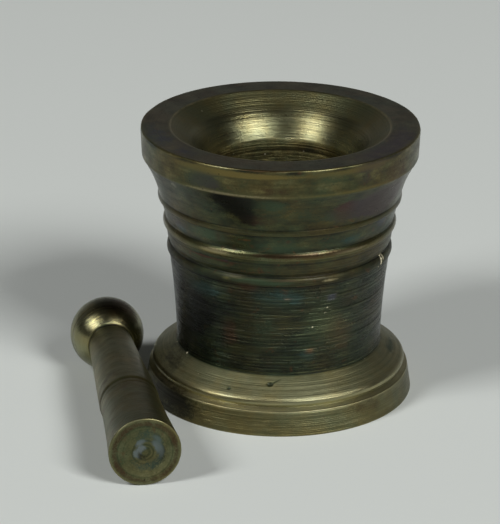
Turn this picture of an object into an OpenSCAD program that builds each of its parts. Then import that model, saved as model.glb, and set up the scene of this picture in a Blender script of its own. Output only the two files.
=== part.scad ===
// Brass pill crusher: a small turned mortar and the turned pestle that lies beside it.
// Millimetres, +Z up. The origin is the centre of the mortar's foot, on the table.

/* [Mortar] */
// Outside radius of the rim
rim_r = 19.24; // [18.2:0.02:22]
// Height of the rim's flat top above the table
mortar_h = 38.5; // [36:0.5:46]
// Inside radius of the rim
mouth_r = 15.2; // [13:0.1:16]
// Height of the rim's outer band
rim_band_h = 3.9; // [2:0.1:5]
// How far the rim's band leans in at its lower edge
rim_band_lean = 0.18; // [0:0.02:0.4]
// Radius that rounds the rim's outer edge and the foot's bottom edge
edge_r = 0.25; // [0.1:0.05:0.4]

/* [Bowl and well] */
// Depth of the open bowl, from the rim to the well's mouth
bowl_depth = 5.6; // [4:0.1:8]
// Lean of the bowl's lower side, degrees from upright
bowl_lean = 33; // [25:1:40]
// Height above the well's mouth where the bowl's side breaks and opens wider
bowl_break_h = 3; // [2:0.1:4]
// Radius that rounds the break
bowl_break_round = 6; // [2:0.5:8]
// Radius of the well
well_r = 9.9; // [8:0.1:10.5]
// Height of the well's floor above the table
well_floor_z = 12; // [9:0.5:20]
// Radius between the well's side and its floor
well_corner_r = 5.5; // [4:0.1:7]

/* [Foot] */
// Radius of the foot on the table
foot_r = 18.76; // [18.2:0.02:20]
// Height of the foot's upright side
foot_side_h = 3.4; // [2.5:0.1:4]
// How far the foot's side leans in at its top
foot_side_lean = 0.55; // [0.1:0.05:0.8]
// Width of the narrow ledge above the side
ledge_w = 0.76; // [0.4:0.02:1]
// Rise of the narrow ledge
ledge_rise = 0.42; // [0.2:0.02:0.6]
// Radius of the roll above the ledge
roll_r = 0.8; // [0.6:0.05:1]
// Slope of the foot's top, degrees above level
foot_slope = 34.5; // [30:0.5:38]

/* [Body] */
// Radius of the body where it stands on the foot
waist_r = 14.3; // [13.6:0.02:14.8]
// Radius of the body under the lower ridge
body_top_r = 15.38; // [15.2:0.02:15.5]
// Curve of the body's hollow side
body_curve_r = 113; // [90:1:200]

/* [Ridges] */
// Height of the lower ridge's widest line
lower_ridge_z = 21.05; // [20.6:0.05:21.4]
// Radius of the lower ridge
lower_ridge_r = 15.66; // [15.56:0.02:15.8]
// Radius of the rounding on the lower ridge
lower_ridge_round = 1.1; // [1:0.05:1.2]
// Height of the middle ridge's widest line
middle_ridge_z = 24.95; // [24.7:0.05:25.2]
// Radius of the middle ridge
middle_ridge_r = 16.18; // [16.1:0.02:16.3]
// Radius of the rounding on the middle ridge
middle_ridge_round = 0.95; // [0.85:0.05:1.05]
// Height of the upper ridge's widest line
upper_ridge_z = 28.75; // [28.5:0.05:29]
// Radius of the upper ridge
upper_ridge_r = 16.9; // [16.84:0.02:17]
// Radius of the rounding on the upper ridge
upper_ridge_round = 0.9; // [0.85:0.05:1]
// Height of each ridge's widest line above its sharp lower edge
ridge_drop = 0.42; // [0.3:0.02:0.5]
// Curve of the cove between the upper ridge and the rim's band
cove_curve_r = 16; // [9:0.5:30]

/* [Pestle] */
// Radius of the ball
ball_r = 5.22; // [4.6:0.02:5.4]
// Length from the ball's centre to the flat end
pestle_l = 39.4; // [34:0.2:44]
// Radius of the neck, where the stem leaves the ball
neck_r = 3; // [2.4:0.02:3.2]
// Distance from the ball's centre to the shoulder
shoulder_s = 24.2; // [20:0.2:28]
// Radius of the stem at the shoulder
stem_end_r = 4.1; // [3.98:0.02:4.2]
// Radius of the grip at the shoulder
grip_start_r = 3.96; // [3.7:0.02:3.96]
// Radius of the grip at the flat end
grip_end_r = 4.84; // [4.5:0.01:4.9]
// Curve of the grip's flare
grip_curve_r = 285; // [120:5:600]
// Radius that rounds the edge of the flat end
grip_edge_r = 0.2; // [0.1:0.05:0.4]
// Left-right place of the ball's centre
ball_x = -24.43; // [-30:0.01:-24.2]
// Front-back place of the ball's centre
ball_y = 4.7; // [3.4:0.1:8]
// Direction from the ball to the flat end, in degrees from +X
pestle_heading = -80; // [-95:1:-79]

/* [Hidden] */
$fn = 180;
past = 1;

mortar_colour = [0.36, 0.33, 0.24];
pestle_colour = [0.47, 0.43, 0.28];

// Foot: the ledge meets the roll at roll_start degrees below level,
// and the roll runs on into the sloping top.
roll_start = 50;
side_top_r = foot_r - foot_side_lean;
roll_foot_r = side_top_r - ledge_w;
roll_foot_z = foot_side_h + ledge_rise;
roll_x = roll_foot_r - roll_r * cos(roll_start);
roll_z = roll_foot_z + roll_r * sin(roll_start);
slope_r = roll_x + roll_r * sin(foot_slope);
slope_z = roll_z + roll_r * cos(foot_slope);
waist_z = slope_z + (slope_r - waist_r) * tan(foot_slope);

// Bands between the ridges: each rises fast from a narrow valley above the ridge below it
// to a shoulder, and then more slowly to the ridge above it.
valley_rise = 0.95;
shoulder_rise = 0.65;
lower_valley = [lower_ridge_r - 0.44, lower_ridge_z + valley_rise];
lower_shoulder = lower_valley + [0.32, shoulder_rise];
upper_valley = [middle_ridge_r - 0.36, middle_ridge_z + valley_rise];
upper_shoulder = upper_valley + [0.24, shoulder_rise];
under_middle = [middle_ridge_r - 0.34, middle_ridge_z - ridge_drop];
under_upper = [upper_ridge_r - 0.38, upper_ridge_z - ridge_drop];

// Cove: it leaves the upper ridge's rounding at cove_start_z.
cove_start_z = upper_ridge_z + upper_ridge_round / 2;
cove_start_r = upper_ridge_r - upper_ridge_round * (1 - cos(30));
rim_band_z = mortar_h - rim_band_h;
rim_band_r = rim_r - rim_band_lean;

// Bowl: a steep lower side and a wider upper side, with a rounding between them
// that starts and ends bowl_trim from their break.
bowl_break = [well_r, mortar_h - bowl_depth] + bowl_break_h * [tan(bowl_lean), 1];
bowl_steep = [sin(bowl_lean), cos(bowl_lean)];
bowl_wide = ([mouth_r, mortar_h] - bowl_break) / norm([mouth_r, mortar_h] - bowl_break);
bowl_trim = bowl_break_round * tan(acos(bowl_steep * bowl_wide) / 2);
bowl_low = bowl_break - bowl_trim * bowl_steep;
bowl_high = bowl_break + bowl_trim * bowl_wide;

// Centre of the circle of radius r through a and b, on the left of the way from a to b.
function arc_centre(a, b, r) =
    let (d = b - a, half = norm(d) / 2, side = [-d.y, d.x] / norm(d))
    (a + b) / 2 + side * sqrt(r * r - half * half);

// Half sections: x is the distance from the turning axis, y is along it.
module tier(a, b) {
    polygon([[0, a.y], a, b, [0, b.y]]);
}

module hollowed_tier(a, b, curve_r) {
    difference() {
        tier(a, b);
        translate(arc_centre(b, a, curve_r)) circle(curve_r);
    }
}

module ridge(z, r, round_r) {
    intersection() {
        translate([r - round_r, z]) circle(round_r);
        translate([r - round_r, z - ridge_drop]) square([round_r + past, ridge_drop + round_r]);
    }
}

module corner_cut(x, z, up, r) {
    difference() {
        translate([x - r, up > 0 ? z - r : z - past]) square([r + past, r + past]);
        translate([x - r, z - up * r]) circle(r);
    }
}

module foot_section() {
    tier([foot_r, 0], [side_top_r, foot_side_h]);
    tier([side_top_r, foot_side_h], [roll_foot_r, roll_foot_z]);
    intersection() {
        translate([roll_x, roll_z]) circle(roll_r);
        translate([roll_x, roll_foot_z]) square([roll_r + past, slope_z - roll_foot_z]);
    }
    tier([roll_x, roll_foot_z], [roll_x, slope_z]);
    tier([slope_r, slope_z], [waist_r, waist_z]);
}

module body_section() {
    lower_z = lower_ridge_z - ridge_drop;
    hollowed_tier([waist_r, waist_z], [body_top_r, lower_z], body_curve_r);
    tier([lower_ridge_r - lower_ridge_round, lower_z], lower_valley);
    tier(lower_valley, lower_shoulder);
    tier(lower_shoulder, under_middle);
    tier([middle_ridge_r - middle_ridge_round, under_middle.y], upper_valley);
    tier(upper_valley, upper_shoulder);
    tier(upper_shoulder, under_upper);
    tier([upper_ridge_r - upper_ridge_round, under_upper.y], [cove_start_r, cove_start_z]);
    ridge(lower_ridge_z, lower_ridge_r, lower_ridge_round);
    ridge(middle_ridge_z, middle_ridge_r, middle_ridge_round);
    ridge(upper_ridge_z, upper_ridge_r, upper_ridge_round);
}

module rim_section() {
    hollowed_tier([cove_start_r, cove_start_z], [rim_band_r, rim_band_z], cove_curve_r);
    tier([rim_band_r, rim_band_z], [rim_r, mortar_h]);
}

module cavity_section() {
    bowl_z = mortar_h - bowl_depth;
    corner_z = well_floor_z + well_corner_r;
    tier([well_r, bowl_z], bowl_low);
    hollowed_tier(bowl_low, bowl_high, bowl_break_round);
    tier(bowl_high, [mouth_r, mortar_h] + past * bowl_wide);
    translate([0, corner_z]) square([well_r, bowl_z - corner_z]);
    translate([0, well_floor_z]) square([well_r - well_corner_r, well_corner_r]);
    intersection() {
        translate([well_r - well_corner_r, corner_z]) circle(well_corner_r);
        translate([well_r - well_corner_r, well_floor_z]) square(well_corner_r);
    }
}

module mortar() {
    color(mortar_colour)
        rotate_extrude()
            difference() {
                union() {
                    foot_section();
                    body_section();
                    rim_section();
                }
                cavity_section();
                corner_cut(rim_r, mortar_h, 1, edge_r);
                corner_cut(foot_r, 0, -1, edge_r);
            }
}

module pestle_section() {
    difference() {
        union() {
            intersection() {
                circle(ball_r);
                translate([0, -ball_r]) square([ball_r, 2 * ball_r]);
            }
            tier([neck_r, 0], [neck_r, ball_r / 2]);
            tier([neck_r, ball_r / 2], [stem_end_r, shoulder_s]);
            hollowed_tier([grip_start_r, shoulder_s], [grip_end_r, pestle_l], grip_curve_r);
        }
        corner_cut(grip_end_r, pestle_l, 1, grip_edge_r);
    }
}

// The pestle lies with its ball and the edge of its flat end both on the table.
module pestle() {
    run = pestle_l - grip_edge_r;
    rise = grip_end_r - grip_edge_r;
    tilt = atan(rise / run) - asin((ball_r - grip_edge_r) / norm([run, rise]));
    color(pestle_colour)
        translate([ball_x, ball_y, ball_r])
            rotate([0, 90 - tilt, pestle_heading])
                rotate_extrude()
                    pestle_section();
}

mortar();
pestle();
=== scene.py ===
"""Brass pill crusher: a small turned mortar and its turned pestle, aged and handled.

Both pieces are turned on a lathe, so each is one mesh: a half section with its edges worn round,
carried round its axis, with the tool's grooves, the nicks and the pits moved in and out of it.
Sections are in millimetres; everything that reaches Blender is in metres, in the CAD's frame.
"""

import math

import bpy
import numpy as np
from mathutils import Matrix, Vector


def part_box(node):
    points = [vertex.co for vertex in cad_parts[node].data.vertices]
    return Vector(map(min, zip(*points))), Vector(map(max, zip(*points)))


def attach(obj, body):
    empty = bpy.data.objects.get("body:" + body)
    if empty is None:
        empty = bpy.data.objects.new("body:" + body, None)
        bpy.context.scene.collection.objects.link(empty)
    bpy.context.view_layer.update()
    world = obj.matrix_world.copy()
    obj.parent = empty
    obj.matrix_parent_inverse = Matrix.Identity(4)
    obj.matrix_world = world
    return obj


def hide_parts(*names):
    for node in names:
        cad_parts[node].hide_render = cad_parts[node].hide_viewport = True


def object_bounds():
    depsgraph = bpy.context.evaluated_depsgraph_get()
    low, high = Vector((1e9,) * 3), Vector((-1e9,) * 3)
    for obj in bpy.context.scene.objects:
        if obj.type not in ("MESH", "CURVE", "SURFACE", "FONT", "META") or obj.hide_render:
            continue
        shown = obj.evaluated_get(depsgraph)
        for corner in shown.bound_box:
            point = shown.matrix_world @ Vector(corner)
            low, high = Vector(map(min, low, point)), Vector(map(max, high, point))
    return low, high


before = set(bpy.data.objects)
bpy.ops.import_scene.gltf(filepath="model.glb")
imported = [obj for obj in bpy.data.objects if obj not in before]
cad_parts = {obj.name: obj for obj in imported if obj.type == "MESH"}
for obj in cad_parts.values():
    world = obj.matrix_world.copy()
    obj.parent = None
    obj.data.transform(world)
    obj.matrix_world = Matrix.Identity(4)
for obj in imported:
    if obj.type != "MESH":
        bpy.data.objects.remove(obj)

MM = 0.001
CAD_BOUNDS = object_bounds()


# ---------------------------------------------------------------- half sections
def line(a, b):
    return np.array([a, b], float)


def arc(centre, radius, start, end, count=60):
    """Points on a circle, from angle start to angle end, in degrees from outward."""
    t = np.radians(np.linspace(start, end, count))
    return np.stack([centre[0] + radius * np.cos(t), centre[1] + radius * np.sin(t)], 1)


def arc_between(a, b, radius):
    """The arc of that radius from a to b with its centre on the left of the way."""
    a, b = np.array(a, float), np.array(b, float)
    way = b - a
    half = np.hypot(*way) / 2
    side = np.array([-way[1], way[0]]) / (2 * half)
    centre = (a + b) / 2 + side * math.sqrt(radius**2 - half**2)
    start, end = (math.degrees(math.atan2(p[1] - centre[1], p[0] - centre[0])) for p in (a, b))
    if end - start > 180:
        end -= 360
    if start - end > 180:
        end += 360
    return arc(centre, radius, start, end)


# The CAD's two half sections, stretch by stretch, repeated from part.scad because this script
# can't read it. A point is its distance from the turning axis and its place along that axis: its
# height for the mortar, and its distance from the ball's centre for the pestle.
# The pestle's shoulder is a sharp step in the CAD, and is spread over half a millimetre here.
MORTAR_SECTION = [
    ("underside", line((0, 0), (18.76, 0))),
    ("foot_side", line((18.76, 0), (18.21, 3.4))),
    ("ledge", line((18.21, 3.4), (17.45, 3.82))),
    ("roll", arc((16.936, 4.433), 0.8, -50, 55.5)),
    ("slope", line((17.389, 5.092), (14.3, 7.215))),
    ("body", arc_between((15.38, 20.63), (14.3, 7.215), 113)[::-1]),
    ("lower_ridge", arc((14.56, 21.05), 1.1, -22.4, 53.1)),
    ("lower_band", np.array([(15.22, 22.0), (15.54, 22.65), (15.84, 24.53)])),
    ("middle_ridge", arc((15.23, 24.95), 0.95, -26.2, 50.8)),
    ("upper_band", np.array([(15.82, 25.9), (16.06, 26.55), (16.52, 28.33)])),
    ("upper_ridge", arc((16.0, 28.75), 0.9, -27.8, 30)),
    ("cove", arc_between((19.06, 34.6), (16.779, 29.2), 16)[::-1]),
    ("rim", np.concatenate([line((19.06, 34.6), (19.23, 38.25)), arc((18.98, 38.25), 0.25, 0, 90)])),
    ("lip", line((18.98, 38.5), (15.2, 38.5))),
    ("bowl_top", line((15.2, 38.5), (12.65, 36.522))),
    ("bowl", np.concatenate([arc_between((12.65, 36.522), (11.295, 35.049), 6),
                             line((11.295, 35.049), (9.9, 32.9))])),
    ("well", line((9.9, 32.9), (9.9, 17.5))),
    ("well_corner", arc((4.4, 17.5), 5.5, 0, -90)),
    ("well_floor", line((4.4, 12), (0, 12))),
]
PESTLE_SECTION = [
    ("ball", arc((0, 0), 5.22, -90, 53.8)),
    ("stem", line((3.08, 4.21), (4.09, 24.0))),
    ("shoulder", line((4.09, 24.0), (3.97, 24.5))),
    ("grip", np.concatenate([arc_between((4.83, 39.2), (3.97, 24.5), 285)[::-1],
                             arc((4.63, 39.2), 0.2, 0, 90)])),
    ("end", line((4.63, 39.4), (0, 39.4))),
]

# For each stretch, in mm: the spacing of the mesh's rows, and the pitch and the depth of the
# grooves that the tool left.
CUTTING = {
    "underside":    ( 0.55,   0.9,  0.02),
    "foot_side":    ( 0.14,  0.36, 0.012),
    "ledge":        (  0.1,  0.25, 0.006),
    "roll":         ( 0.09,   0.3, 0.004),
    "slope":        ( 0.13,  0.32,  0.01),
    "body":         (0.105,   0.5,  0.06),
    "lower_ridge":  ( 0.09,   0.4, 0.004),
    "lower_band":   ( 0.14,   0.5, 0.014),
    "middle_ridge": ( 0.09,   0.4, 0.003),
    "upper_band":   ( 0.16,   0.6, 0.006),
    "upper_ridge":  ( 0.09,   0.4, 0.003),
    "cove":         (  0.2,   0.6, 0.005),
    "rim":          ( 0.16,   0.6, 0.006),
    "lip":          ( 0.26,   0.5, 0.004),
    "bowl_top":     ( 0.13,   0.4, 0.008),
    "bowl":         ( 0.13,   0.4,  0.01),
    "well":         (  0.4,   1.2,  0.05),
    "well_corner":  (  0.4,   1.1, 0.045),
    "well_floor":   (  0.5,   0.9,  0.04),
    "ball":         ( 0.16,   0.3, 0.004),
    "stem":         (  0.2,  0.35, 0.004),
    "shoulder":     ( 0.08,   0.3, 0.002),
    "grip":         (  0.2,   0.5, 0.005),
    "end":          (  0.1,  0.36, 0.008),
}

# In mm: how finely a section is sampled, and how far its outward and inward corners are rounded.
FINE = 0.02
WORN_OUTSIDE, WORN_INSIDE = 0.06, 0.03
# Extra rows where the section bends, for each radian per mm up to the sharpest that counts.
ROWS_PER_BEND, SHARPEST_BEND = 1.2, 8
# Extra rows in a single groove, and how far to its sides they reach, in groove half widths.
ROWS_PER_GROOVE, GROOVE_REACH = 1.3, 1.6
# Less than any row's share of the total, so that the last row is found.
ROUNDING = 1e-9


def way_along(points):
    """The distance of each point from the first, along the line through them all."""
    return np.concatenate([[0], np.cumsum(np.hypot(*np.diff(points, axis=0).T))])


def points_at(places, way, points):
    """Points at those places along the line, given how far along it each of its points is."""
    return np.stack([np.interp(places, way, points[:, k]) for k in (0, 1)], 1)


def running_total(rate, step):
    """The sum of a rate from the first point to each, given the step or steps between points."""
    return np.concatenate([[0], np.cumsum((rate[1:] + rate[:-1]) / 2 * step)])


def joined(stretches):
    """Close points along all the stretches, and the name of the stretch that each is on."""
    points, names = [], []
    for name, corners in stretches:
        way = way_along(corners)
        count = max(2, round(way[-1] / FINE))
        points.append(points_at(np.linspace(0, way[-1], count, endpoint=False), way, corners))
        names += [name] * count
    last_name, last_corners = stretches[-1]
    points.append(last_corners[-1:])
    names.append(last_name)
    return np.concatenate(points), np.array(names)


def smoothed(points, reach):
    """The points blurred over that reach in mm, as if the section ran on past its two ends."""
    mirrored = np.concatenate([points[:0:-1] * [-1, 1], points, points[-2::-1] * [-1, 1]])
    span = round(4 * reach / FINE) + 1
    kernel = np.exp(-0.5 * (np.arange(-span, span + 1) * FINE / reach) ** 2)
    kernel /= kernel.sum()
    smooth = np.stack([np.convolve(mirrored[:, k], kernel, "same") for k in (0, 1)], 1)
    return smooth[len(points) - 1 : 2 * len(points) - 1]


def worn(points):
    """The points with their corners rounded, the outward ones more than the inward ones."""
    wide, tight = (smoothed(points, reach) for reach in (WORN_OUTSIDE, WORN_INSIDE))
    direction = np.unwrap(np.arctan2(*np.gradient(wide, FINE, axis=0).T[::-1]))
    outside = np.clip(0.5 + np.gradient(direction, FINE), 0, 1)[:, None]
    rounded = tight + (wide - tight) * outside
    rounded[[0, -1], 0] = 0
    return rounded


class Section:
    """A half section sampled finely, its corners worn round, and the rows that the mesh keeps."""

    def __init__(self, stretches, grooves):
        points, names = joined(stretches)
        way = way_along(points)
        self.along = np.linspace(0, way[-1], round(way[-1] / FINE))
        self.names = names[np.clip(np.searchsorted(way, self.along), 0, len(names) - 1)]
        self.fine = worn(points_at(self.along, way, points))
        tangent = np.gradient(self.fine, FINE, axis=0)
        tangent /= np.hypot(*tangent.T)[:, None]
        self.normal = np.stack([tangent[:, 1], -tangent[:, 0]], 1)
        self.bend = np.gradient(np.unwrap(np.arctan2(tangent[:, 1], tangent[:, 0])), FINE)
        self.rows = self.kept_rows(grooves)

    def kept_rows(self, grooves):
        """The fine points that become rows: closer together at bends and in single grooves."""
        rate = np.array([1 / CUTTING[name][0] for name in self.names])
        rate += ROWS_PER_BEND * np.clip(np.abs(self.bend), 0, SHARPEST_BEND)
        for at, half, _ in grooves:
            off = (self.along - at) / (GROOVE_REACH * half)
            rate += ROWS_PER_GROOVE / half * np.exp(-(off**4))
        total = running_total(rate, FINE)
        wanted = np.linspace(0, total[-1], round(total[-1]) + 1) - ROUNDING
        rows = np.searchsorted(total, wanted)
        return np.unique(np.clip(rows, 0, len(self.along) - 1))

    def row(self, values):
        """Of values given for each fine point, those at the rows."""
        return values[self.rows]

    def point(self, theta, at):
        """The place in the piece's own frame, in mm, at an angle round and a way along."""
        r, z = (np.interp(at, self.along, self.fine[:, k]) for k in (0, 1))
        return r * math.sin(math.radians(theta)), -r * math.cos(math.radians(theta)), z


# ---------------------------------------------------------------- the tool's marks and the wear
# Single grooves, cut deeper than the rest: place along the section, half width and depth in mm.
MORTAR_GROOVES = [
    (30.6, 0.08, 0.03), (31.35, 0.07, 0.022), (36.6, 0.07, 0.03), (36.95, 0.07, 0.04),
    (37.45, 0.08, 0.05), (38.05, 0.07, 0.035), (40.5, 0.07, 0.035), (40.8, 0.07, 0.03),
    (41.62, 0.09, 0.03), (43.3, 0.07, 0.03), (45.42, 0.08, 0.035), (50.28, 0.08, 0.035),
]
PESTLE_GROOVES = [
    (9.4, 0.16, 0.02), (13.1, 0.1, 0.05), (33.3, 0.15, 0.01), (34.5, 0.07, 0.03), (49.4, 0.1, 0.02),
    (51.4, 0.1, 0.025), (52.0, 0.1, 0.03), (52.5, 0.12, 0.05),
]
# Nicks and pits: angle round from the front in degrees, place along the section, half length,
# half width and depth in mm, lean in degrees, and 1 where the metal is bare or 0 where it is dirty.
MORTAR_MARKS = [
    (-4.6, 26.78, 0.34, 0.26, 0.22, 0, 0), (-2.0, 27.2, 0.8, 0.09, 0.06, 32, 0),
    (-24.3, 25.42, 0.2, 0.18, 0.14, 0, 0), (63.4, 42.6, 1.3, 0.2, 0.1, 79, 1),
    (66.0, 43.1, 0.8, 0.16, 0.08, 83, 1), (61.6, 41.9, 0.4, 0.14, 0.08, 70, 0),
    (152, 49.2, 0.7, 0.12, 0.06, 30, 1), (-128, 25.4, 0.4, 0.25, 0.12, 0, 0),
]
PESTLE_MARKS = [
    (150, 33.0, 0.5, 0.1, 0.04, 40, 0), (-60, 46.0, 0.5, 0.08, 0.03, 60, 1),
    (-35, 47.9, 0.8, 0.16, 0.05, 0, 1), (20, 47.95, 0.6, 0.14, 0.04, 0, 1),
]
# Long shallow dents in the rim's outer edge: angle, half length and depth. Their place along the
# section and their half width are the same for all.
RIM_DENTS = [
    (-66, 2.2, 0.05), (-41, 1.6, 0.06), (-13, 1.8, 0.07), (5.5, 1.0, 0.08), (25, 1.6, 0.05),
    (52, 2.4, 0.05), (93, 1.8, 0.06), (131, 2.6, 0.05), (168, 1.4, 0.08), (-158, 2.2, 0.05),
    (-112, 1.6, 0.07), (-90, 2.6, 0.04),
]
RIM_EDGE, RIM_DENT_WIDTH = 61.05, 0.28
MORTAR_MARKS += [(theta, RIM_EDGE, half, RIM_DENT_WIDTH, deep, 0, 0) for theta, half, deep in RIM_DENTS]

# A tool groove's place is off by this part of the pitch, and sways round by the smaller part.
PLACE_ERROR, GROOVE_SWAY = 0.16, 0.015
# The spread of the grooves' depths, as a gamma distribution, and of their half widths in pitches.
DEPTH_SHAPE, DEPTH_SCALE = 4.5, 0.22
NARROWEST, WIDEST = 0.15, 0.28
# How deep a tool groove is on average round the piece, how much that varies, and the most it may be.
USUAL_FADE, FADE_WAVES, MOST_FADE = 0.75, 0.22, 1.6
# The same for a single groove, with the least that it may be, and its sway in mm.
SINGLE_FADE, SINGLE_FADE_WAVES, SINGLE_FADE_RANGE, SINGLE_SWAY = 0.9, 0.1, (0.3, 1.3), 0.012
WAVES_ROUND = 7
# Marks are measured round at this radius or more, in mm, so that none spreads at the axis.
LEAST_RADIUS = 0.3


def waves(rng, angle, count, strength):
    """A smooth random wave round the axis, about 0, for each of the rows."""
    out = np.zeros((count, len(angle)))
    for k in range(1, WAVES_ROUND + 1):
        size = rng.normal(0, strength / math.sqrt(k), (count, 1))
        out += size * np.cos(k * angle[None] + rng.uniform(0, 2 * math.pi, (count, 1)))
    return out


def turn_from(angle, theta):
    """The angles measured from theta, which is in degrees, between a half turn either way."""
    return (angle - math.radians(theta) + math.pi) % (2 * math.pi) - math.pi


def tool_grooves(section, rng, angle):
    """Depth in mm of the tool's grooves at each row and angle: random rings that fade in and out."""
    along = section.row(section.along)
    names = section.row(section.names)
    depth = np.zeros((len(along), len(angle)))
    for name in dict.fromkeys(names):
        inside = names == name
        low, high = along[inside].min(), along[inside].max()
        _, pitch, deep = CUTTING[name]
        count = max(1, round((high - low) / pitch))
        at = np.linspace(low, high, count + 2)[1:-1] + rng.normal(0, pitch * PLACE_ERROR, count)
        strength = deep * rng.gamma(DEPTH_SHAPE, DEPTH_SCALE, count)
        width = pitch * rng.uniform(NARROWEST, WIDEST, count)
        fade = np.clip(USUAL_FADE + waves(rng, angle, count, FADE_WAVES), 0, MOST_FADE)
        sway = waves(rng, angle, count, pitch * GROOVE_SWAY)
        near = np.where(inside)[0]
        for i in range(count):
            off = (along[near, None] - at[i] - sway[i][None]) / width[i]
            depth[near] += strength[i] * fade[i][None] * np.exp(-off * off)
    return depth


def single_grooves(section, grooves, rng, angle):
    """Depth in mm of the single grooves at each row and angle."""
    along = section.row(section.along)
    depth = np.zeros((len(along), len(angle)))
    for at, half, deep in grooves:
        off = (along[:, None] - at - waves(rng, angle, 1, SINGLE_SWAY)) / half
        fade = np.clip(SINGLE_FADE + waves(rng, angle, 1, SINGLE_FADE_WAVES), *SINGLE_FADE_RANGE)
        depth += deep * fade * np.exp(-off * off)
    return depth


def mark_depth(section, marks, angle):
    """Depth in mm at each row and angle of the bare nicks, and of the dirty pits."""
    along = section.row(section.along)[:, None]
    radius = np.maximum(section.row(section.fine[:, 0]), LEAST_RADIUS)[:, None]
    depth = np.zeros((2, len(along), len(angle)))
    for theta, at, length, width, deep, lean, bare in marks:
        u, v = turn_from(angle, theta)[None] * radius, along - at
        c, s = math.cos(math.radians(lean)), math.sin(math.radians(lean))
        far = ((u * c + v * s) / length) ** 2 + ((v * c - u * s) / width) ** 2
        depth[1 - bare] += deep * np.exp(-far ** 1.5)
    return depth


# Extra columns in the whole turn where a nick or pit is. They reach over a margin in degrees and
# more for a longer mark. A level mark longer than LONG_MARK mm is smooth enough without them.
FINE_COLUMNS = 620
MARK_MARGIN, MARGIN_PER_MM, LONG_MARK = 1.2, 3.0, 0.9
ANGLE_SAMPLES = 4001


def angles_round(count, marks):
    """Angles for the columns, closer together where a nick or pit needs them."""
    t = np.linspace(-math.pi, math.pi, ANGLE_SAMPLES)
    rate = np.full(len(t), count / (2 * math.pi))
    for theta, _, length, _, _, lean, _ in marks:
        if length > LONG_MARK and not lean:
            continue
        half = math.radians(MARK_MARGIN + MARGIN_PER_MM * length * abs(math.cos(math.radians(lean))))
        rate += FINE_COLUMNS / (2 * math.pi) * np.exp(-((turn_from(t, theta) / half) ** 4))
    total = running_total(rate, np.diff(t))
    return np.interp(np.linspace(0, total[-1], round(total[-1]) + 1)[:-1], total, t)


# ---------------------------------------------------------------- finish and stains
# The columns of FINISH, and how far in mm each blurs from one stretch into the next. age is 0 for
# bare brass to 1 for black; cool is how green it is, 0 to 1; rough is its roughness; coat is the
# weight of its clear gloss; turning is how strong the turning marks are; patchy is how patchy the
# tarnish is; bareness is how bare its edges are worn; and dirt is how dirty its corners are.
FINISH_BLUR = {"age": 0.25, "cool": 0.5, "rough": 0.2, "coat": 0.2,
               "turning": 0.3, "patchy": 0.3, "bareness": 0.2, "dirt": 0.2}
FINISH = {
    "underside":    ( 0.55,   0.3,   0.4,     0,   0.5,     1,   0.5,   0.8),
    "foot_side":    (  0.4,   0.3,  0.38,  0.08,   0.8,   0.7,   0.6,   0.5),
    "ledge":        ( 0.12,   0.6,  0.42,   0.1,   0.6,   0.5,   0.5,  0.05),
    "roll":         ( 0.22,   0.5,   0.3,   0.1,   0.5,   0.5,   0.5,  0.05),
    "slope":        (  0.3,  0.75,   0.5,  0.08,   1.1,   0.5,   0.5,   0.5),
    "body":         (  0.7,   0.7,  0.26,  0.14,   1.5,   1.2,   0.5,   0.8),
    "lower_ridge":  ( 0.74,   0.4,  0.46,  0.06,   0.8,   1.2,   0.1,   0.2),
    "lower_band":   ( 0.64,  0.35,  0.36,  0.12,   0.9,   1.2,   0.2,   0.3),
    "middle_ridge": ( 0.57,  0.25,   0.3,  0.08,   0.3,   1.2,   0.6,   0.3),
    "upper_band":   ( 0.68,   0.7,  0.32,  0.12,  0.25,   1.4,   0.3,   0.3),
    "upper_ridge":  ( 0.67,  0.25,  0.36,  0.08,   0.3,   1.2,   0.5,   0.3),
    "cove":         ( 0.68,   0.6,  0.32,  0.07,  0.25,   1.4,   0.5,   0.5),
    "rim":          ( 0.57,   0.4,   0.4,  0.08,  0.25,   1.4,   0.8,   0.5),
    "lip":          ( 0.64,   0.2,  0.42,  0.12,   0.3,   1.2,   0.9,   0.5),
    "bowl_top":     ( 0.41,   0.6,   0.4,  0.05,   0.6,   0.4,     1,   0.3),
    "bowl":         ( 0.32,   0.7, 0.285,  0.05,  0.45,  0.25,   0.5,   0.3),
    "well":         ( 0.52,     0,   0.4,     0,   1.8,     2,   0.4,   0.7),
    "well_corner":  (  0.6,     0,   0.5,     0,     1,     1,   0.4,   0.7),
    "well_floor":   (  0.6,     0,   0.5,     0,     1,     1,   0.4,   0.7),
    "ball":         ( 0.27,  0.75,  0.26,  0.05,   0.4,   0.3,   0.4,   0.8),
    "stem":         (0.395,   0.5,  0.42,  0.08,  0.35,   0.8,   0.1,   0.4),
    "shoulder":     (  0.5,   0.4,  0.45,  0.05,  0.35,   0.8,     0,   0.5),
    "grip":         (0.465,   0.4,  0.42,  0.08,  0.35,   0.8,   0.6,   0.4),
    "end":          ( 0.47,   0.7,   0.4,  0.05,  0.25,   1.3,   0.3,   0.6),
}

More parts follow.
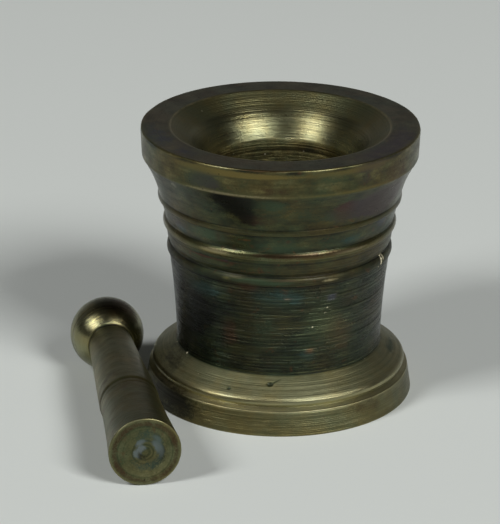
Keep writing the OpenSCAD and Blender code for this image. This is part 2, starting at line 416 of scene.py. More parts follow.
# Stains in the tarnish, with a few painted shades and painted highlights among them: colour, angle, place
# along, half width round and half height in mm, strength.
BROWN, RED, ORANGE = (0.062, 0.034, 0.018), (0.075, 0.024, 0.014), (0.2, 0.085, 0.03)
OCHRE, GREEN, TEAL = (0.17, 0.13, 0.04), (0.05, 0.078, 0.042), (0.035, 0.072, 0.062)
BLUE, VIOLET, BLACK = (0.05, 0.06, 0.10), (0.052, 0.040, 0.046), (0.008, 0.008, 0.008)
# WORN_AND_HIGHLIGHT is bare-looking brass where the metal is worn, and painted highlight where it lies on
# the ridges and along the pestle's stem.
PALE, SMEAR, WORN_AND_HIGHLIGHT = (0.42, 0.40, 0.33), (0.17, 0.2, 0.2), (0.36, 0.31, 0.17)
MORTAR_STAINS_AND_PAINTED_LIGHT = [
    (BLACK, -19, 56.2, 2.1, 0.9, 0.9), (BLACK, -14.5, 52.9, 0.9, 0.8, 0.9),
    (BLACK, -21, 54.9, 2.9, 2.2, 0.68), (BLACK, -16, 54.6, 1.1, 1.6, 0.7),
    (BLACK, -13.5, 56.3, 1.1, 0.9, 0.8), (RED, -137, 71.5, 0.8, 0.7, 0.4),
    (BLACK, -26, 56.4, 1.7, 1.0, 0.75), (WORN_AND_HIGHLIGHT, 0, 65.3, 60, 0.2, 0.5),
    # The black at -54 on the foot's side is painted shade.
    (BLACK, -54, 20.4, 6.5, 2.4, 0.75), (WORN_AND_HIGHLIGHT, -22, 57.5, 9, 0.22, 0.45),
    # The ochre at 60.5 and 60.6, on the front just under the rim's outer edge, is a painted lit band on
    # its worn rounding.
    (OCHRE, 30, 57.6, 9, 0.22, 0.5), (OCHRE, -28, 60.5, 8, 0.6, 0.6),
    # On the middle ridge, the worn patches at -33 and 38 are painted highlight, and the brown at 18
    # darkens its highlight there.
    (OCHRE, 30, 60.6, 7, 0.45, 0.5), (BROWN, 18, 47.0, 6, 0.5, 0.6),
    (WORN_AND_HIGHLIGHT, -33, 46.9, 2.6, 0.3, 0.8), (BROWN, -4, 47.1, 3.2, 0.35, 0.6),
    (WORN_AND_HIGHLIGHT, 38, 46.9, 3, 0.25, 0.4), (GREEN, -5, 56, 2.5, 1.3, 0.5),
    (BROWN, -8, 53, 2.6, 1.0, 0.4), (GREEN, 24, 53, 3, 1.2, 0.4),
    # The brown at -8 along 61.3 darkens the rim's edge between its two front glints.
    (GREEN, 20, 59.5, 2.4, 1.0, 0.5), (BROWN, -8, 61.3, 4.2, 0.2, 0.8),
    (OCHRE, 33, 35.5, 4.5, 6.5, 0.14), (BROWN, 55, 54.5, 4.5, 2.6, 0.5),
    # On the lower ridge, the worn patch at 26 is painted highlight, and the green at -10 darkens its
    # highlight there.
    (GREEN, -10, 42.6, 5, 0.45, 0.8), (WORN_AND_HIGHLIGHT, 26, 42.5, 1.3, 0.22, 0.6),
    (BROWN, 2, 42.9, 2.4, 0.2, 0.7), (VIOLET, -32, 58.8, 2.6, 1.2, 0.5),
    # The black at -45 along 37 on the body is a painted dark reflection.
    (BLACK, -45, 37, 5, 3, 0.4), (RED, 28.5, 54.0, 1.5, 1.9, 0.45),
    (VIOLET, 46, 54, 6, 2.4, 0.85), (GREEN, 5, 54.5, 3.5, 1.8, 0.4),
    (GREEN, -38, 49.2, 3.3, 1.1, 0.8), (BROWN, -30, 49.3, 0.5, 0.9, 0.8),
    (ORANGE, -17, 49.4, 0.9, 0.25, 0.6), (BROWN, 3, 49.4, 0.35, 0.3, 0.8),
    (VIOLET, -62, 49, 2.5, 1.0, 0.5), (TEAL, -57, 48.3, 1.2, 0.6, 0.6),
    (BLUE, 58, 49.8, 1.5, 0.8, 0.5), (GREEN, 0, 48.4, 4.0, 1.0, 0.5),
    (TEAL, 38, 48.6, 2.5, 0.8, 0.5), (RED, -40, 45.2, 5.5, 0.16, 0.8),
    (VIOLET, -28.5, 45.4, 0.5, 0.25, 0.7), (ORANGE, -13, 44.1, 1.5, 0.22, 0.4),
    (OCHRE, -35, 46.3, 5, 0.5, 0.45), (OCHRE, 15, 46.3, 4, 0.5, 0.35),
    (OCHRE, -28, 42.6, 0.6, 0.2, 0.6), (BLACK, -42, 41.8, 5.8, 0.3, 0.75),
    (BROWN, -17, 41.6, 1.6, 0.9, 0.7), (ORANGE, 12, 41.9, 1.6, 0.3, 0.4),
    (BROWN, -27, 33.8, 1.1, 2.4, 0.55), (ORANGE, 4.7, 39.8, 0.35, 0.3, 0.9),
    (ORANGE, 17, 31.7, 0.5, 0.4, 0.8), (TEAL, 15, 31, 1.4, 1.0, 0.6),
    (BLUE, 28, 39.5, 0.7, 0.6, 0.7), (TEAL, 0, 40, 4, 1.5, 0.5),
    (TEAL, -42, 39.8, 3, 1.0, 0.6), (GREEN, 22, 36, 3, 3, 0.5),
    # The black at -72 and at -45 along 34.5 on the body's left is a painted dark reflection.
    (GREEN, -8, 35, 2.4, 3.5, 0.45), (BLACK, -72, 35.5, 5, 8, 0.9),
    (BROWN, 36, 33.5, 2.4, 3.0, 0.38), (BLACK, -45, 34.5, 5, 4, 0.35),
    (VIOLET, 38, 60.0, 2.6, 1.8, 0.5), (BROWN, 55, 58.5, 3.5, 1.6, 0.45),
    # The ochre at -10 along 60.4 is part of the same painted lit band under the rim's edge.
    (GREEN, -36, 59.2, 3, 1.5, 0.4), (OCHRE, -10, 60.4, 6.5, 0.35, 0.6),
    (BROWN, -5, 58.4, 3, 0.7, 0.4), (PALE, -51, 56.5, 0.3, 0.7, 0.7),
    (VIOLET, 60, 63, 10, 2, 0.6), (BLUE, -65, 63, 9, 2, 0.35),
    # The black at -65 on the top of the foot is painted shade.
    (OCHRE, 0, 61.6, 9, 0.3, 0.3), (BLACK, -65, 24.5, 6, 3.5, 0.3),
    (BROWN, 40, 21.5, 4, 1.2, 0.35),
]
PESTLE_STAINS_AND_PAINTED_LIGHT = [
    (SMEAR, -49, 52.3, 0.7, 0.45, 0.7), (SMEAR, -66, 51.5, 0.8, 0.35, 0.6),
    (SMEAR, 7, 51.8, 0.7, 0.35, 0.65), (SMEAR, 206, 51.3, 1.0, 0.5, 0.65),
    (SMEAR, 178, 50.9, 0.9, 0.3, 0.4), (SMEAR, 230, 50.6, 0.7, 0.3, 0.35),
    (BLACK, 60, 52.2, 0.8, 0.4, 0.5), (BLACK, 160, 50.6, 1.6, 0.7, 0.4),
    (TEAL, 100, 50.9, 2.5, 0.9, 0.5), (TEAL, -110, 50.6, 2.5, 0.9, 0.4),
    (BROWN, -112, 9.8, 3.2, 3.0, 0.66), (GREEN, -75, 8, 2.5, 2, 0.4),
    # The two long worn strips along the stem, at 143 and -97, are painted highlight.
    (BROWN, 0, 49.0, 60, 0.45, 0.5), (WORN_AND_HIGHLIGHT, 143, 24, 0.8, 6, 0.3),
    (WORN_AND_HIGHLIGHT, -97, 24, 0.8, 7, 0.3), (BROWN, -40, 31, 3, 1.6, 0.35),
    # The black rings at the neck, along 13.3, and on the shoulder's step, along 33.15, are painted shade.
    (GREEN, 20, 40, 3, 4, 0.35), (BLACK, 0, 13.3, 60, 0.3, 0.5),
    (BLACK, 0, 33.15, 60, 0.25, 0.15),
]

# How far in mm a bend is blurred, the bend where an edge begins to be bare, and how much more
# bend, in radians per mm, makes an edge wholly bare or a corner wholly dirty.
BEND_BLUR, BARE_BEND, FULL_BEND = 0.08, 0.45, 3.0
# Depths in mm at which a groove is full of grime, and a nick or pit is wholly bare or dirty.
DEEP_GROOVE, DEEP_MARK = 0.02, 0.06
GROOVE_GRIME = 0.35
# Grooves and marks fade out within this distance of the axis, in mm.
CALM_CENTRE = 0.8
# What stands for no stain and no painted light at all, so that the mean colour is never divided by
# nothing.
NO_STAIN_NOR_PAINTED_LIGHT = 1e-4
# The half widths and half heights in mm of scattered stains, and their share of the strongest.
SCATTER_WIDE, SCATTER_HIGH, SCATTER_SHARE = (0.5, 3.5), (0.3, 1.8), (0.4, 1.0)


def blur_rows(section, values, reach):
    """The values of the fine section, blurred over reach mm, at the rows."""
    span = int(3 * reach / FINE)
    kernel = np.exp(-0.5 * (np.arange(-span, span + 1) * FINE / reach) ** 2)
    padded = np.pad(values, span, mode="edge")
    return section.row(np.convolve(padded, kernel / kernel.sum(), "valid"))


def scattered_stains(seed, count, colours, angles, places, strongest):
    """Stains at random places within the angles and the places along."""
    rng = np.random.default_rng(seed)
    return [(colours[rng.integers(len(colours))], rng.uniform(*angles), rng.uniform(*places),
             rng.uniform(*SCATTER_WIDE), rng.uniform(*SCATTER_HIGH),
             rng.uniform(*SCATTER_SHARE) * strongest)
            for _ in range(count)]


def stain_and_painted_light_maps(section, stains_and_painted_light, angle):
    """The colour of the stains and the painted light at each row and angle, and how strong they are
    together.
    """
    along = section.row(section.along)[:, None]
    radius = section.row(section.fine[:, 0])[:, None]
    colour = np.zeros((len(along), len(angle), 3))
    amount = np.full((len(along), len(angle)), NO_STAIN_NOR_PAINTED_LIGHT)
    for tint, theta, at, wide, high, strength in stains_and_painted_light:
        far = (turn_from(angle, theta)[None] * radius / wide) ** 2 + ((along - at) / high) ** 2
        weight = strength * np.exp(-(far**1.5))
        colour += weight[..., None] * np.array(tint)
        amount += weight
    return colour / amount[..., None], np.clip(amount, 0, 1)


# ---------------------------------------------------------------- turned pieces
def rings(section, depth, angle):
    """Points and faces of the section carried round, with depth in mm cut into it.

    Each row is a ring, but the first and last are single points on the axis, after all the rings.
    """
    radius = section.row(section.fine[:, 0])[:, None]
    depth = depth * np.clip(radius / CALM_CENTRE, 0, 1)
    r = radius - depth * section.row(section.normal[:, 0])[:, None]
    z = section.row(section.fine[:, 1])[:, None] - depth * section.row(section.normal[:, 1])[:, None]
    inner = np.stack([r * np.sin(angle)[None], -r * np.cos(angle)[None], z], 2)[1:-1]
    ends = np.array([[0, 0, z[0, 0]], [0, 0, z[-1, 0]]])
    points = np.concatenate([inner.reshape(-1, 3), ends])
    grid = np.arange(len(points) - 2).reshape(inner.shape[:2])
    after = np.roll(grid, -1, 1)
    quads = np.stack([grid[:-1], after[:-1], after[1:], grid[1:]], 2).reshape(-1, 4)
    first_tip, last_tip = len(points) - 2, len(points) - 1
    fans = [(first_tip, j, i) for i, j in zip(grid[0].tolist(), after[0].tolist())]
    fans += [(last_tip, i, j) for i, j in zip(grid[-1].tolist(), after[-1].tolist())]
    return points, quads.tolist() + fans


def per_point(values):
    """Values for each row and angle, as one for each point of the mesh."""
    return np.concatenate([values[1:-1].reshape(-1), [values[0].mean(), values[-1].mean()]])


def store(mesh, label, values):
    """A named attribute with a number or a vector for each point."""
    kind, key = ("FLOAT_VECTOR", "vector") if np.ndim(values) == 2 else ("FLOAT", "value")
    data = mesh.attributes.new(label, kind, "POINT").data
    data.foreach_set(key, np.asarray(values, np.float32).ravel())


def store_finish(mesh, section, tool, nicks, pits):
    """What the material reads about age, gloss, wear and dirt, from the section and the depths."""
    every = np.ones(tool.shape)
    finish = {}
    for column, (label, reach) in enumerate(FINISH_BLUR.items()):
        values = np.array([FINISH[name][column] for name in section.names])
        finish[label] = blur_rows(section, values, reach)[:, None]
    bareness, dirt = finish.pop("bareness"), finish.pop("dirt")
    for label, values in finish.items():
        store(mesh, label, per_point(values * every))
    bend = blur_rows(section, section.bend, BEND_BLUR)[:, None] * every
    wear = np.clip((bend - BARE_BEND) / FULL_BEND, 0, 1) * bareness
    in_corners = np.clip(-bend / FULL_BEND, 0, 1) * dirt
    in_grooves = np.clip(tool / DEEP_GROOVE, 0, 1) * GROOVE_GRIME
    in_pits = np.clip(pits / DEEP_MARK, 0, 1)
    store(mesh, "along", per_point(section.row(section.along)[:, None] * every))
    store(mesh, "wear", per_point(wear))
    store(mesh, "grime", per_point(in_corners + in_grooves + in_pits))
    store(mesh, "bare", per_point(np.clip(nicks / DEEP_MARK, 0, 1)))


def turned(name, section, columns, marks, grooves, stains_and_painted_light, seed, place):
    """A turned piece, put in its place, with all that its material reads stored on its points."""
    rng = np.random.default_rng(seed)
    angle = angles_round(columns, marks)
    tool = tool_grooves(section, rng, angle) + single_grooves(section, grooves, rng, angle)
    nicks, pits = mark_depth(section, marks, angle)
    local, faces = rings(section, tool + nicks + pits, angle)
    world = np.array(place)
    mesh = bpy.data.meshes.new(name)
    mesh.from_pydata(((local @ world[:3, :3].T + world[:3, 3]) * MM).tolist(), [], faces)
    mesh.polygons.foreach_set("use_smooth", np.ones(len(mesh.polygons), bool))
    store(mesh, "turned", local)
    store_finish(mesh, section, tool, nicks, pits)
    tint, amount = stain_and_painted_light_maps(section, stains_and_painted_light, angle)
    store(mesh, "tint", np.stack([per_point(tint[..., k]) for k in range(3)], 1))
    store(mesh, "stain_and_painted_light", per_point(amount))
    obj = bpy.data.objects.new(name, mesh)
    bpy.context.scene.collection.objects.link(obj)
    return obj


# ---------------------------------------------------------------- materials
class Graph:
    """Adds nodes to a material, with inputs given as sockets or plain values."""

    def __init__(self, name):
        self.material = bpy.data.materials.new(name)
        self.material.use_nodes = True
        self.tree = self.material.node_tree
        self.shader = self.tree.nodes["Principled BSDF"].inputs

    def node(self, kind, output=0, _inputs=None, **settings):
        made = self.tree.nodes.new(kind)
        for key, value in settings.items():
            setattr(made, key, value)
        for key, value in (_inputs or {}).items():
            self.set(made.inputs[key], value)
        return made.outputs[output]

    def set(self, socket, value):
        if isinstance(value, bpy.types.NodeSocket):
            self.tree.links.new(value, socket)
        else:
            socket.default_value = value

    def math(self, operation, a, b, clamp=False):
        return self.node("ShaderNodeMath", _inputs={0: a, 1: b}, operation=operation, use_clamp=clamp)

    def attribute(self, name, vector=False):
        return self.node("ShaderNodeAttribute", "Vector" if vector else "Fac", attribute_name=name)

    def scaled(self, vector, by):
        return self.node("ShaderNodeVectorMath", _inputs={0: vector, 1: by}, operation="MULTIPLY")

    def noise(self, vector, scale, detail, rough, distortion=0.0):
        return self.node("ShaderNodeTexNoise", "Fac",
                         {"Vector": vector, "Scale": scale, "Detail": detail,
                          "Roughness": rough, "Distortion": distortion})

    def swing(self, noise, gain):
        """gain times a noise's distance from its middle."""
        return self.math("MULTIPLY", self.math("SUBTRACT", noise, 0.5), gain)

    def step(self, value, span, out_low=0.0, out_high=1.0):
        """out_low below the span of values, out_high above it, and smooth between."""
        return self.node("ShaderNodeMapRange", "Result",
                         {"Value": value, "From Min": span[0], "From Max": span[1],
                          "To Min": out_low, "To Max": out_high}, interpolation_type="SMOOTHSTEP")

    def ramp(self, value, stops):
        made = self.tree.nodes.new("ShaderNodeValToRGB")
        elements = made.color_ramp.elements
        while len(elements) < len(stops):
            elements.new(0.5)
        for element, (at, colour) in zip(elements, stops):
            element.position = at
            element.color = (*colour, 1)
        self.set(made.inputs[0], value)
        return made.outputs["Color"]

    def mix(self, factor, a, b):
        made = self.tree.nodes.new("ShaderNodeMix")
        made.data_type = "RGBA"
        for socket, value in ((made.inputs["Factor"], factor), (made.inputs[6], a), (made.inputs[7], b)):
            if isinstance(value, tuple):
                value = (*value, 1)
            self.set(socket, value)
        return made.outputs[2]


# Colour of the skin by its age, from bare to black, where it is warm and where it is cool.
WARM = [(0.0, (0.52, 0.45, 0.22)), (0.22, (0.30, 0.26, 0.125)), (0.4, (0.17, 0.144, 0.058)),
        (0.58, (0.086, 0.070, 0.026)), (0.75, (0.044, 0.037, 0.017)), (1.0, (0.009, 0.008, 0.006))]
COOL = [(0.0, (0.50, 0.47, 0.27)), (0.22, (0.27, 0.265, 0.15)), (0.4, (0.14, 0.145, 0.075)),
        (0.58, (0.062, 0.078, 0.036)), (0.75, (0.030, 0.043, 0.024)), (1.0, (0.007, 0.009, 0.008))]
RUST = (0.11, 0.05, 0.02)
BARE = (0.7, 0.64, 0.44)
# Bright specks of dust and bare pin-points: angle, place along the section, radius in mm, strength.
MORTAR_SPECKS = [
    (-62.4, 28.2, 0.19, 1.0), (-79.7, 28.1, 0.12, 0.8), (55.4, 28.1, 0.1, 0.7),
    (-44.1, 26.3, 0.1, 0.5), (17.7, 35.3, 0.17, 0.5), (24.7, 37.3, 0.13, 0.35),
    (25.7, 38.0, 0.17, 0.45), (27.5, 37.6, 0.1, 0.3), (22.5, 36.4, 0.09, 0.25),
    (-52, 56.5, 0.1, 0.7), (150, 28.2, 0.15, 0.7), (-143, 38, 0.1, 0.4), (-168, 75.2, 0.16, 0.35),
    (171, 76.4, 0.2, 0.25), (160, 74.6, 0.13, 0.3), (-152, 76.0, 0.12, 0.3), (148, 75.9, 0.18, 0.2),
    (-176, 78.0, 0.15, 0.25), (-139, 74.4, 0.1, 0.25), (-128, 66.9, 0.13, 0.3),
]
PESTLE_SPECKS = [
    (-95, 30, 0.1, 0.4), (-88, 30.6, 0.08, 0.4),
]

# Noises: scale per mm, detail, roughness and, for the blotches, distortion.
CLOUD, MOTTLE, GRAIN = (0.16, 3, 0.6), (0.8, 6, 0.65), (4.5, 4, 0.6)
STREAK, FINE_STREAK = (2.6, 6, 0.7), (9.0, 3, 0.6)
BLOTCH, SPECKLE, CHIP = (0.55, 5, 0.7, 0.4), (3.1, 2, 0.5), (5.0, 3, 0.6)
# The mottle is drawn out across the axis. The streaks are almost the same all the way round.
MOTTLE_STRETCH, STREAK_STRETCH = (0.45, 0.45, 1.0), (0.0018, 0.0018, 0.0)
# How strongly the noises, the grime, the wear and the bright lines, which are worn crests with painted
# glints, move the age and the coolness.
MOTTLE_AGE, GRAIN_AGE, STREAK_AGE = 0.5, 0.14, 0.42
GRIME_AGE, WEAR_AGE, CREST_AND_GLINT_AGE = 0.4, 0.42, 0.16
CLOUD_COOL, BLOTCH_COOL = 2.8, 1.6
# A span is the values over which something goes from nothing to all. Here: the streaks for a
# bright line, a worn crest with a painted glint, and the mottle for the wear, of which a part shows
# everywhere.
CREST_AND_GLINT_SPAN, WEAR_SPAN, LEAST_WEAR = (0.57, 0.68), (0.38, 0.62), 0.2
# The blotches and the ages for rust, and how much it covers the colour.
RUST_SPAN, RUST_AGE, RUST_COVER = (0.58, 0.70), (0.3, 0.6), 0.6
# How ragged the edges of the stains and the painted light are, the spans for one with and without them,
# and its cover.
MOTTLE_EDGE, GRAIN_EDGE = 1.0, 0.7
STAIN_AND_PAINTED_LIGHT_SPAN, STAIN_AND_PAINTED_LIGHT_FADE, STAIN_AND_PAINTED_LIGHT_COVER = (0.16, 0.75), (0.02, 0.2), 0.85
# The small black speckles' span and cover.
SPECKLE_SPAN, SPECKLE_COVER = (0.70, 0.76), 0.6
# How ragged the bare nicks' edges are, and the spans for a nick with and without them.
NICK_EDGE, NICK_SPAN, NICK_FADE = 2.2, (0.5, 0.95), (0.02, 0.15)
# The part of a speck's radius that is at full strength.
SPECK_CORE = 0.6
# The ages between which the skin gets less metallic, and how metallic it and dusty metal still are.
METAL_SPAN, OLD_METAL, DUSTY_METAL = (0.3, 0.7), 0.82, 0.2
# How strongly the noises move the roughness.
MOTTLE_ROUGH, SPECKLE_ROUGH, STREAK_ROUGH = 0.25, 0.2, 0.12
COAT_ROUGHNESS, SPECULAR = 0.16, 0.25
# Weights of the noises in the fine relief, and its height in metres.
FINE_STREAK_RELIEF, STREAK_RELIEF, GRAIN_RELIEF, RELIEF = 0.8, 1.2, 0.12, 0.00009


class AgedBrass:
    """Turned brass under a skin of old tarnish: olive where it is handled, green-black where it isn't."""

    def __init__(self, name, specks):
        self.graph = g = Graph(name)
        self.place = g.attribute("turned", vector=True)
        self.turning, self.patchy = g.attribute("turning"), g.attribute("patchy")
        level = g.node("ShaderNodeCombineXYZ", _inputs={2: g.attribute("along")})
        flat = g.scaled(self.place, STREAK_STRETCH)
        streak_place = g.node("ShaderNodeVectorMath", _inputs={0: flat, 1: level}, operation="ADD")
        self.mottle = g.noise(g.scaled(self.place, MOTTLE_STRETCH), *MOTTLE)
        self.grain = g.noise(self.place, *GRAIN)
        self.blotch = g.noise(self.place, *BLOTCH)
        self.streak = g.noise(streak_place, *STREAK)
        self.fine_streak = g.noise(streak_place, *FINE_STREAK)
        speckle = g.step(g.noise(self.place, *SPECKLE), SPECKLE_SPAN)
        self.speckle = g.math("MULTIPLY", speckle, self.patchy)
        self.age = self.aged()
        self.bare = self.bared(specks)
        g.set(g.shader["Base Color"], self.coloured())
        old = g.step(self.age, METAL_SPAN, 1.0, OLD_METAL)
        dusty = g.step(self.bare, (0.0, 1.0), 1.0, DUSTY_METAL)
        g.set(g.shader["Metallic"], g.math("MULTIPLY", old, dusty))
        g.set(g.shader["Roughness"], self.roughened())
        g.set(g.shader["Coat Weight"], g.attribute("coat"))
        g.shader["Coat Roughness"].default_value = COAT_ROUGHNESS
        g.shader["Specular IOR Level"].default_value = SPECULAR
        g.set(g.shader["Normal"], self.relief())

    def aged(self):
        """Age of the skin: mottled, streaked, older in its corners and newer on its worn edges."""
        g = self.graph
        patches = g.math("ADD", g.swing(self.mottle, MOTTLE_AGE), g.swing(self.grain, GRAIN_AGE))
        age = g.math("ADD", g.attribute("age"), g.math("MULTIPLY", patches, self.patchy))
        age = g.math("ADD", age, g.math("MULTIPLY", g.swing(self.streak, STREAK_AGE), self.turning))
        age = g.math("ADD", age, g.math("MULTIPLY", g.attribute("grime"), GRIME_AGE))
        # Lighter along the streaks' crests: worn crests, with painted glints along the turning lines.
        worn_crest_and_glint = g.math("MULTIPLY", g.step(self.streak, CREST_AND_GLINT_SPAN), self.turning)
        age = g.math("SUBTRACT", age, g.math("MULTIPLY", worn_crest_and_glint, CREST_AND_GLINT_AGE))
        wear = g.math("MULTIPLY", g.attribute("wear"), g.step(self.mottle, WEAR_SPAN, LEAST_WEAR))
        return g.math("SUBTRACT", age, g.math("MULTIPLY", wear, WEAR_AGE), clamp=True)

    def bared(self, specks):
        """Where the metal is bare or dusty: in ragged nicks, and at the specks."""
        g = self.graph
        nick = g.attribute("bare")
        ragged = g.math("ADD", nick, g.swing(g.noise(self.place, *CHIP), NICK_EDGE))
        bare = g.math("MULTIPLY", g.step(ragged, NICK_SPAN), g.step(nick, NICK_FADE))
        for point, radius, strength in specks:
            away = g.node("ShaderNodeVectorMath", "Value", {0: self.place, 1: point},
                          operation="DISTANCE")
            bare = g.math("MAXIMUM", bare, g.step(away, (radius * SPECK_CORE, radius), strength, 0.0))
        return bare

    def coloured(self):
        """The colour: skin, rust, stains with painted shade and painted highlights among them, dark
        speckles, and bare metal on top.
        """
        g = self.graph
        cool = g.math("ADD", g.attribute("cool"), g.swing(g.noise(self.place, *CLOUD), CLOUD_COOL))
        cool = g.math("ADD", cool, g.swing(self.blotch, BLOTCH_COOL), clamp=True)
        colour = g.mix(cool, g.ramp(self.age, WARM), g.ramp(self.age, COOL))
        rust = g.math("MULTIPLY", g.step(self.blotch, RUST_SPAN), g.step(self.age, RUST_AGE))
        colour = g.mix(g.math("MULTIPLY", rust, RUST_COVER), colour, RUST)
        edges = g.math("ADD", g.swing(self.mottle, MOTTLE_EDGE), g.swing(self.grain, GRAIN_EDGE))
        amount = g.attribute("stain_and_painted_light")
        ragged = g.step(g.math("ADD", amount, edges), STAIN_AND_PAINTED_LIGHT_SPAN)
        stain_and_painted_light = g.math("MULTIPLY", ragged, g.step(amount, STAIN_AND_PAINTED_LIGHT_FADE))
        tint = g.attribute("tint", vector=True)
        colour = g.mix(g.math("MULTIPLY", stain_and_painted_light, STAIN_AND_PAINTED_LIGHT_COVER), colour, tint)
        colour = g.mix(g.math("MULTIPLY", self.speckle, SPECKLE_COVER), colour, BLACK)
        return g.mix(self.bare, colour, BARE)

    def roughened(self):
        """Roughness of the skin, uneven with the mottle, the speckles and the streaks."""
        g = self.graph
        patches = g.math("MULTIPLY", g.swing(self.mottle, MOTTLE_ROUGH), self.patchy)
        rough = g.math("ADD", g.attribute("rough"), patches)
        rough = g.math("ADD", rough, g.math("MULTIPLY", self.speckle, SPECKLE_ROUGH))
        return g.math("ADD", rough, g.swing(self.streak, STREAK_ROUGH))

    def relief(self):
        """The finest turning marks and the grain, which are too small for the mesh."""
        g = self.graph
        streaks = g.math("ADD", g.math("MULTIPLY", self.fine_streak, FINE_STREAK_RELIEF),
                         g.math("MULTIPLY", self.streak, STREAK_RELIEF))
        height = g.math("ADD", g.math("MULTIPLY", streaks, self.turning),
                        g.math("MULTIPLY", self.grain, GRAIN_RELIEF))
        return g.node("ShaderNodeBump", _inputs={"Strength": 1.0, "Distance": RELIEF, "Height": height})


FLOOR_COLOUR, FLOOR_ROUGHNESS, FLOOR_SPECULAR = (0.765, 0.80, 0.765, 1), 0.95, 0.1


def pale_floor():
    """The plain pale floor's matt material."""
    g = Graph("pale_floor")
    g.shader["Base Color"].default_value = FLOOR_COLOUR
    g.shader["Roughness"].default_value = FLOOR_ROUGHNESS
    g.shader["Specular IOR Level"].default_value = FLOOR_SPECULAR
    return g.material


# ---------------------------------------------------------------- the two pieces
# The pestle as the CAD has it, in mm, and its heading in degrees from +X.
BALL_RADIUS, PESTLE_LENGTH = 5.22, 39.4
END_RADIUS, END_ROUND = 4.84, 0.2
PESTLE_HEADING = -80


def mortar_place():
    """The mortar stands upright on the table, about the middle of its CAD box."""
    low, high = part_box("mortar")
    middle = (low + high) / 2 / MM
    return Matrix.Translation((middle.x, middle.y, low.z / MM))


def pestle_place():
    """The pestle lies on its ball and on the edge of its flat end, from its CAD box's far corner."""
    low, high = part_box("pestle")
    rise, run = END_RADIUS - END_ROUND, PESTLE_LENGTH - END_ROUND
    tilt = math.atan2(rise, run) - math.asin((BALL_RADIUS - END_ROUND) / math.hypot(rise, run))
    ball = (low.x / MM + BALL_RADIUS, high.y / MM - BALL_RADIUS, low.z / MM + BALL_RADIUS)
    heading = Matrix.Rotation(math.radians(PESTLE_HEADING), 4, "Z")
    return Matrix.Translation(ball) @ heading @ Matrix.Rotation(math.pi / 2 - tilt, 4, "Y")


def finished(piece, section, specks, material_name):
    """Gives the piece its material, with the specks at their places on it."""
    spots = [(section.point(theta, at), radius, strength) for theta, at, radius, strength in specks]
    piece.data.materials.append(AgedBrass(material_name, spots).graph.material)


# More stains at random, on the mortar's back and all round the pestle.
MORTAR_STAINS_AND_PAINTED_LIGHT += scattered_stains(31, 26, (BROWN, RED, GREEN, TEAL, VIOLET, BLACK, OCHRE, GREEN),
                                  (75, 285), (19, 61), 0.8)
PESTLE_STAINS_AND_PAINTED_LIGHT += scattered_stains(32, 12, (BROWN, GREEN, OCHRE), (0, 360), (4, 47), 0.4)
# Columns round each piece, before the extra ones at its marks, and the seed of its random draws.
MORTAR_COLUMNS, MORTAR_SEED = 110, 11
PESTLE_COLUMNS, PESTLE_SEED = 104, 12

mortar_section = Section(MORTAR_SECTION, MORTAR_GROOVES)
pestle_section = Section(PESTLE_SECTION, PESTLE_GROOVES)
mortar = turned("mortar_turned", mortar_section, MORTAR_COLUMNS, MORTAR_MARKS, MORTAR_GROOVES,
                MORTAR_STAINS_AND_PAINTED_LIGHT, MORTAR_SEED, mortar_place())
pestle = turned("pestle_turned", pestle_section, PESTLE_COLUMNS, PESTLE_MARKS, PESTLE_GROOVES,
                PESTLE_STAINS_AND_PAINTED_LIGHT, PESTLE_SEED, pestle_place())
finished(mortar, mortar_section, MORTAR_SPECKS, "aged_brass_mortar")
finished(pestle, pestle_section, PESTLE_SPECKS, "aged_brass_pestle")
for piece, node, slot in ((mortar, "mortar", "mortar_brass"), (pestle, "pestle", "pestle_brass")):
    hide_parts(node)
    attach(piece, node)


# ---------------------------------------------------------------- studio
# Soft lights: name, azimuth from the front to the right and elevation in degrees, width and
# height in metres, and power in watts. Both are aimed at the mortar.
SOFT_BOXES = [("softbox_left", -56, 41.2, 0.51, 0.63, 17.5),
              ("softbox_right", 40, 37.9, 0.64, 0.59, 25.6)]
LIGHT_DISTANCE = 2.0
LIGHT_AIM = Vector((0, 0, 0.015))
# The room is dim, with a lighter wall behind the object, low down: the spans of the direction's y
# and z over which the wall comes and goes, and the strengths of the wall and of the room.
WALL_DEPTH, WALL_HEIGHT = (0.1, 0.8), (0.4, 0.7)
WALL_LIGHT, ROOM_LIGHT = 0.17, 0.015
FLOOR_HALF = 3.0
# The camera looks a little down on the two from the front, with a long lens: degrees, and mm.
PITCH, ROLL = 21.5736, -0.36138
CAMERA_PLACE = (-4.0715, -376.155, 166.868)
SENSOR_WIDTH, FOCAL_LENGTH = 36, 198.88
NEAREST, FARTHEST = 0.01, 50


def soft_box(name, azimuth, elevation, width, height, watts):
    """One rectangular soft light, turned towards LIGHT_AIM."""
    data = bpy.data.lights.new(name, "AREA")
    data.shape = "RECTANGLE"
    data.size, data.size_y, data.energy = width, height, watts
    obj = bpy.data.objects.new(name, data)
    bpy.context.scene.collection.objects.link(obj)
    a, e = math.radians(azimuth), math.radians(elevation)
    away = Vector((math.sin(a) * math.cos(e), -math.cos(a) * math.cos(e), math.sin(e)))
    obj.location = LIGHT_AIM + away * LIGHT_DISTANCE
    obj.rotation_mode = "QUATERNION"
    obj.rotation_quaternion = (-away).to_track_quat("-Z", "Y")


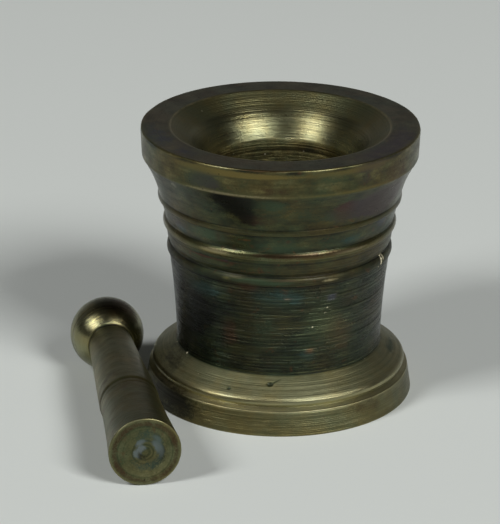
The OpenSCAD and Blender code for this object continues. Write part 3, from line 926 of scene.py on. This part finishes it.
def room_light():
    """The world: the dim room and the lighter wall, as a strength for each direction."""
    world = bpy.data.worlds.new("studio")
    world.use_nodes = True
    tree = world.node_tree
    parts = tree.nodes.new("ShaderNodeSeparateXYZ")
    tree.links.new(tree.nodes.new("ShaderNodeTexCoord").outputs["Generated"], parts.inputs[0])

    def fade(axis, span, low, high):
        made = tree.nodes.new("ShaderNodeMapRange")
        made.interpolation_type = "SMOOTHSTEP"
        for socket, number in zip(made.inputs[1:5], (*span, low, high)):
            socket.default_value = number
        tree.links.new(parts.outputs[axis], made.inputs[0])
        return made.outputs[0]

    strength = tree.nodes.new("ShaderNodeMath")
    strength.operation = "MULTIPLY_ADD"
    tree.links.new(fade("Y", WALL_DEPTH, 0, 1), strength.inputs[0])
    tree.links.new(fade("Z", WALL_HEIGHT, WALL_LIGHT, 0), strength.inputs[1])
    strength.inputs[2].default_value = ROOM_LIGHT
    background = tree.nodes["Background"].inputs
    tree.links.new(strength.outputs[0], background["Strength"])
    background["Color"].default_value = (1, 1, 1, 1)
    return world


def floor_sheet():
    """A wide flat floor under the CAD model."""
    h = FLOOR_HALF
    mesh = bpy.data.meshes.new("floor")
    mesh.from_pydata([(-h, -h, 0), (h, -h, 0), (h, h, 0), (-h, h, 0)], [], [(0, 1, 2, 3)])
    mesh.materials.append(pale_floor())
    sheet = bpy.data.objects.new("floor", mesh)
    sheet.location.z = CAD_BOUNDS[0].z
    bpy.context.scene.collection.objects.link(sheet)
    return sheet


def long_camera():
    """The camera, turned down by PITCH and then about its own view by ROLL."""
    pitch, roll = math.radians(PITCH), math.radians(ROLL)
    camera = bpy.data.objects.new("camera", bpy.data.cameras.new("camera"))
    bpy.context.scene.collection.objects.link(camera)
    camera.data.sensor_width, camera.data.lens = SENSOR_WIDTH, FOCAL_LENGTH
    camera.data.clip_start, camera.data.clip_end = NEAREST, FARTHEST
    forward = Vector((0, math.cos(pitch), -math.sin(pitch)))
    level, down = Vector((1, 0, 0)), Vector((0, -math.sin(pitch), -math.cos(pitch)))
    across = level * math.cos(roll) + down * math.sin(roll)
    below = down * math.cos(roll) - level * math.sin(roll)
    pose = Matrix((across, -below, -forward)).transposed().to_4x4()
    pose.translation = Vector(CAMERA_PLACE) * MM
    camera.matrix_world = pose
    return camera


for box in SOFT_BOXES:
    soft_box(*box)
bpy.context.scene.view_settings.view_transform = "Standard"
bpy.context.scene.world = room_light()
floor = floor_sheet()
bpy.context.scene.camera = long_camera()
